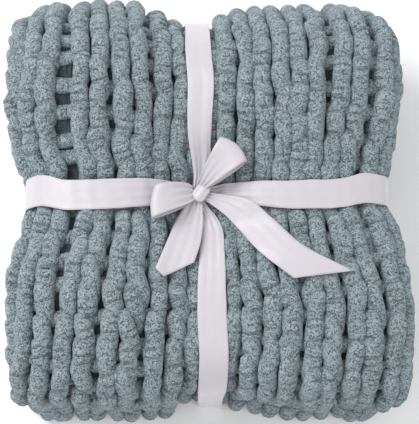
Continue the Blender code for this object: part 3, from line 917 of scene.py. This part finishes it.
def lay_band(x, y, z, away, under, phase):
    """A band's rows from places just under the stack's surface: held off the tied bundle by a set
    distance, raised to the knot, and at a set height under the bundle."""
    rows = np.stack(settle(x, y, z), axis=-1)
    out = np.cross(np.gradient(rows, axis=0), np.gradient(rows, axis=1))
    out *= np.sign(out[0, 0, 2]) / np.linalg.norm(out, axis=2, keepdims=True)
    rows += BAND_OFF * out
    near = np.clip(1 - away / RISE_REACH, 0, 1) ** RISE_POWER
    low = np.clip(1 - z / LOW, 0, 1)
    rows[..., 2] += (KNOT_LIFT - BAND_BELOW_KNOT - KNOT_OVER_BAND) * near + pleats(gather(away), phase)
    rows[..., 2] = np.maximum(rows[..., 2] * (1 - low) + under * low, under)
    return rows


def long_band_rows():
    bottom_end = BOTTOM_END_Y + EDGE_ROUND
    wheels = [
        (BACK_FOLD_Y, HEIGHT / 2, HEIGHT / 2),
        (FRONT_BIGHT_Y, HEIGHT - BIGHT - STRIP / 2, BIGHT + STRIP / 2),
        (bottom_end, 2 * EDGE_ROUND, 2 * EDGE_ROUND),
    ]
    route = np.array(open_at_knot(belt(wheels, -BELT_DEPTH, BAND_STEP), TIE_Y))[:, None]
    y, z = route[..., 0], route[..., 1]
    away = np.where(z > HEIGHT / 2, np.abs(y - TIE_Y), HALF_LENGTH)
    share = gather(away, np.where(y > TIE_Y, GATHER_REACH, FRONT_GATHER_REACH))
    x = long_band_middle(y, z) + RIBBON_WIDTH / 2 * share * SIDE_STEPS
    rows = lay_band(x, y + 0 * x, z + 0 * x, away, LONG_BAND_UNDER, phase=0.6)
    folded = np.where(y > TIE_Y, np.exp(-away / CREASE_REACH), 0) * (z > HEIGHT / 2)
    rows[..., 2] -= CREASE * folded * bump(SIDE_STEPS, CREASE_WIDTH)
    return rows


def cross_band_rows():
    selvedge = SELVEDGE_X - EDGE_ROUND
    wheels = [
        (selvedge, HEIGHT - PLY / 2, PLY / 2),
        (LEFT_FOLD_X, HEIGHT - STRIP / 2, STRIP / 2),
        (LEFT_FOLD_X, STRIP / 2, STRIP / 2),
        (selvedge, PLY / 2, PLY / 2),
    ]
    route = np.array(open_at_knot(belt(wheels, -BELT_DEPTH, BAND_STEP), TIE_X))[:, None]
    x, z = route[..., 0], route[..., 1]
    away = np.where(z > HEIGHT / 2, np.abs(x - TIE_X), HALF_WIDTH)
    share = gather(away, np.where(x > TIE_X, RIGHT_GATHER_REACH, LEFT_GATHER_REACH))
    y = TIE_Y + swing(CROSS_SWING, x - TIE_X) + RIBBON_WIDTH / 2 * share * SIDE_STEPS
    rows = lay_band(x + 0 * y, y, z + 0 * y, away, CROSS_BAND_UNDER, phase=1.9)
    ripples = np.sin(2 * math.pi * RIPPLES_A_WALE * x / WALE + RIPPLE_SLANT * SIDE_STEPS)
    rows[..., 2] += RIPPLE * ripples * (z > HEIGHT / 2)
    return rows


def top_height(x, y):
    """The height of the tied bundle's top at places in plan, found by trial."""
    flat_x, flat_y = x, y
    for _ in range(TRIALS):
        new_x, new_y, new_z = settle(flat_x, flat_y, HEIGHT)
        flat_x, flat_y = flat_x + x - new_x, flat_y + y - new_y
    return new_z


KNOT = np.array(settle(np.array(TIE_X), np.array(TIE_Y), HEIGHT)).ravel() + [0, 0, KNOT_LIFT]


def loop_rows(direction, length, opening, far_share, widening, slant, bulge):
    """A bow loop: out from the knot low down, round its far end and back on top."""
    knot = KNOT + [0, 0, LOOP_ABOVE_KNOT]
    angle = math.radians(direction)
    out = np.array([math.cos(angle), math.sin(angle), 0])
    aside = np.array([-math.sin(angle), math.cos(angle), 0])
    far_x, far_y, _ = knot + out * length
    climb = max(top_height(far_x, far_y) + OVER_BANDS + opening / 2 - knot[2], 0)
    rows = []
    for turn in np.linspace(0, 2 * math.pi, LOOP_STEPS):
        share = (1 - math.cos(turn)) / 2
        reach = IN_KNOT + (length - IN_KNOT) * share
        half = RIBBON_WIDTH / 2 * (GATHERED_SHARE + (far_share - GATHERED_SHARE) * share**widening)
        reach = reach + share * (bulge * (0.5 - SIDE_STEPS**2) + slant * SIDE_STEPS)[:, None]
        height = climb * share - opening * LOOP_FULLNESS * math.sin(turn) * math.sin(turn / 2)
        row = knot + out * reach + aside * (half * SIDE_STEPS)[:, None]
        row[:, 2] += height + pleats(min(share * PLEATS_FADE, 1), phase=2.5)
        row[:, 2] = np.maximum(row[:, 2], top_height(row[:, 0], row[:, 1]) + OVER_BANDS)
        rows.append(row)
    return rows


def tail_rows(table, cut):
    """A free tail that lies on the blanket from the knot to its slanting cut."""
    places = columns_in_metres(table)
    run = np.concatenate([[0], np.cumsum(np.hypot(*np.diff(places[0:2] + places[2:4], axis=1)) / 2)])
    at = np.linspace(0, run[-1], TAIL_STEPS)
    left_x, left_y, right_x, right_y, lift = (smooth_table(at, run, column) for column in places)
    share = (SIDE_STEPS + 1) / 2
    rows = []
    for number, distance in enumerate(at):
        x = KNOT[0] + left_x[number] + (right_x[number] - left_x[number]) * share
        y = KNOT[1] + left_y[number] + (right_y[number] - left_y[number]) * share
        end_share = (number / (TAIL_STEPS - 1)) ** CUT_POWER
        y = y - cut * end_share * np.interp(share, (0, CUT_POINT, 1), (0, 1, 0))
        height = top_height(x, y) + lift[number] + pleats(gather(distance), phase=1.2)
        rows.append(np.stack([x, y, height], axis=-1))
    return rows


def make_ribbon(material):
    """Every length of the ribbon, as one thin cloth."""
    lengths = [
        long_band_rows(),
        cross_band_rows(),
        loop_rows(*LOOPS[0]),
        loop_rows(*LOOPS[1]),
        tail_rows(LEFT_TAIL, TAIL_CUTS[0]),
        tail_rows(RIGHT_TAIL, TAIL_CUTS[1]),
    ]
    points, faces, flat, used = [], [], [], 0
    for rows in lengths:
        rows = np.array(rows)
        run = np.cumsum(np.linalg.norm(np.diff(rows, axis=0, prepend=rows[:1]), axis=2).mean(axis=1))
        run_across, run_along = np.meshgrid(RIBBON_WIDTH / 2 * SIDE_STEPS, run)
        flat.append(np.stack([run_along, run_across], axis=-1).reshape(-1, 2))
        index = used + np.arange(len(rows) * len(SIDE_STEPS)).reshape(len(rows), -1)
        corners = [index[:-1, :-1], index[1:, :-1], index[1:, 1:], index[:-1, 1:]]
        faces += np.stack(corners, axis=-1).reshape(-1, 4).tolist()
        points.append(rows.reshape(-1, 3))
        used += index.size
    ribbon = add_mesh("satin_ribbon", np.concatenate(points), faces, material, np.concatenate(flat))
    shell = ribbon.modifiers.new("thickness", "SOLIDIFY")
    shell.thickness = RIBBON_THICKNESS
    shell.offset = 0
    return ribbon


def make_knot(material):
    """The wrap of ribbon that is drawn tight over the middle of the bow."""
    down = np.linspace(0, math.pi, KNOT_RINGS + 1)[1:-1, None]
    angle = np.linspace(0, 2 * math.pi, KNOT_STEPS, endpoint=False)
    girth, height = np.sin(down), np.cos(down) + 0 * angle
    rings = np.stack([girth * np.cos(angle), girth * np.sin(angle), height], axis=-1)
    ball = np.concatenate([rings.reshape(-1, 3), [(0, 0, 1), (0, 0, -1)]])
    x, y, z = np.copysign(np.abs(ball) ** KNOT_POWER, ball).T
    along = KNOT_SIZE[0] * x
    beside = KNOT_SIZE[1] * y * (1 + KNOT_FLARE * x * x)
    up = KNOT_SIZE[2] * z * (1 + RIDGE_HEIGHT * np.cos(RIDGES * y + RIDGE_PHASE) * np.maximum(z, 0))
    cos, sin = math.cos(math.radians(WRAP_ANGLE)), math.sin(math.radians(WRAP_ANGLE))
    points = np.stack([along * cos - beside * sin, along * sin + beside * cos, up], axis=-1)
    index = np.arange(len(ball) - 2).reshape(-1, KNOT_STEPS)
    corners = [index[:-1], index[1:], np.roll(index[1:], -1, 1), np.roll(index[:-1], -1, 1)]
    faces = np.stack(corners, axis=-1).reshape(-1, 4).tolist()
    first, last = index[0].tolist(), index[-1].tolist()
    faces += [(len(ball) - 2, first[n - 1], first[n]) for n in range(KNOT_STEPS)]
    faces += [(len(ball) - 1, last[n], last[n - 1]) for n in range(KNOT_STEPS)]
    return add_mesh("ribbon_knot", points * MM + KNOT + KNOT_SHIFT, faces, material)


ribbon = make_ribbon(satin_material)
knot = make_knot(satin_material)
for piece in (ribbon, knot):
    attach(piece, "root")
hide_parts("ribbon")


# ---------------------------------------------------------------- camera and light

CAMERA_ELEVATION = 80  # degrees
CAMERA_DISTANCE = 1.4
CAMERA_AIM = (0, -6 * MM, 90 * MM)
SENSOR = 36  # mm
PHOTO_HEIGHT = 424
PIXEL = 0.985  # mm at the aim
LIGHT_AIM = (0, 0, 0.08)
WORLD_STRENGTH = 0.8


def look_at(holder, target):
    holder.rotation_euler = (Vector(target) - holder.location).to_track_quat("-Z", "Y").to_euler()


def make_camera():
    elevation, aim = math.radians(CAMERA_ELEVATION), Vector(CAMERA_AIM)
    data = bpy.data.cameras.new("camera")
    data.sensor_width = SENSOR
    data.lens = SENSOR * CAMERA_DISTANCE / (PHOTO_HEIGHT * PIXEL * MM)
    camera = bpy.data.objects.new("camera", data)
    bpy.context.scene.collection.objects.link(camera)
    camera.location = aim + CAMERA_DISTANCE * Vector((0, -math.cos(elevation), math.sin(elevation)))
    look_at(camera, aim)
    bpy.context.scene.camera = camera


def add_area_light(name, place, size, power):
    data = bpy.data.lights.new(name, "AREA")
    data.shape = "SQUARE"
    data.size = size
    data.energy = power
    light = bpy.data.objects.new(name, data)
    bpy.context.scene.collection.objects.link(light)
    light.location = place
    look_at(light, LIGHT_AIM)


make_camera()
add_area_light("key_light", place=(-1.4, 0.9, 1.8), size=1.2, power=37)
add_area_light("fill_light", place=(1.4, -1.0, 1.6), size=1.6, power=6)
bpy.context.scene.view_settings.view_transform = "Standard"
world = bpy.data.worlds.new("studio")
bpy.context.scene.world = world
world.use_nodes = True
background = world.node_tree.nodes["Background"]
background.inputs["Color"].default_value = (1, 1, 1, 1)
background.inputs["Strength"].default_value = WORLD_STRENGTH
